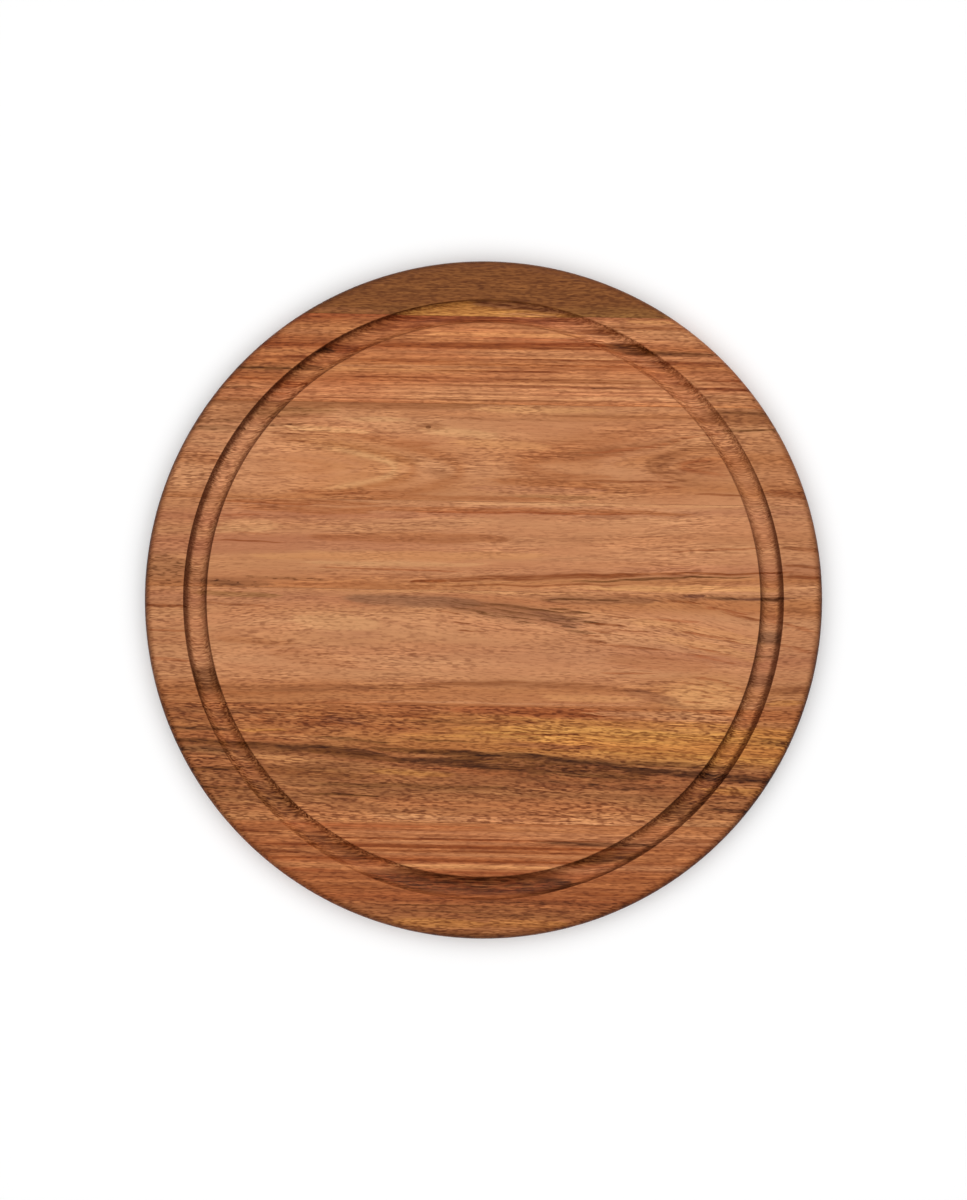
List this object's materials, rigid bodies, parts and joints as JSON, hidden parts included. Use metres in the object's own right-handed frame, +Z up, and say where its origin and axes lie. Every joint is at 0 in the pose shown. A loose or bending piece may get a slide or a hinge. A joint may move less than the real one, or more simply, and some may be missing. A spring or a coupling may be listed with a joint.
{
  "type": "pizza serving board",
  "caption": "Round wooden serving board glued up from solid staves with the grain side by side, with rounded edges and a juice groove near its rim.",
  "frame": {"origin": "centre of the board's underside", "axes": "+Z up out of the serving face, X along the grain of the staves, +Y across the grain towards the back, which is the top of the picture"},
  "size_m": [0.32, 0.32, 0.015],
  "materials": {
    "wood_1": "oiled satin, dark olive-brown",
    "wood_2": "oiled satin, reddish orange with dark stripes",
    "wood_3": "oiled satin, orange-tan with arched grain",
    "wood_4": "oiled satin, pinkish tan",
    "wood_5": "oiled satin, tan",
    "wood_6": "oiled satin, mottled brown",
    "wood_7": "oiled satin, reddish orange",
    "wood_8": "oiled satin, brown",
    "glue": "cured adhesive, sanded flush and oiled"
  },
  "bodies": {
    "root": {"stave_1": "wood_1", "stave_2": "wood_2", "stave_3": "wood_3", "stave_4": "wood_4", "stave_5": "wood_5", "stave_6": "wood_6", "stave_7": "wood_7", "stave_8": "wood_8", "glue_line_1": "glue", "glue_line_2": "glue", "glue_line_3": "glue", "glue_line_4": "glue", "glue_line_5": "glue", "glue_line_6": "glue", "glue_line_7": "glue"}
  },
  "joints": []
}
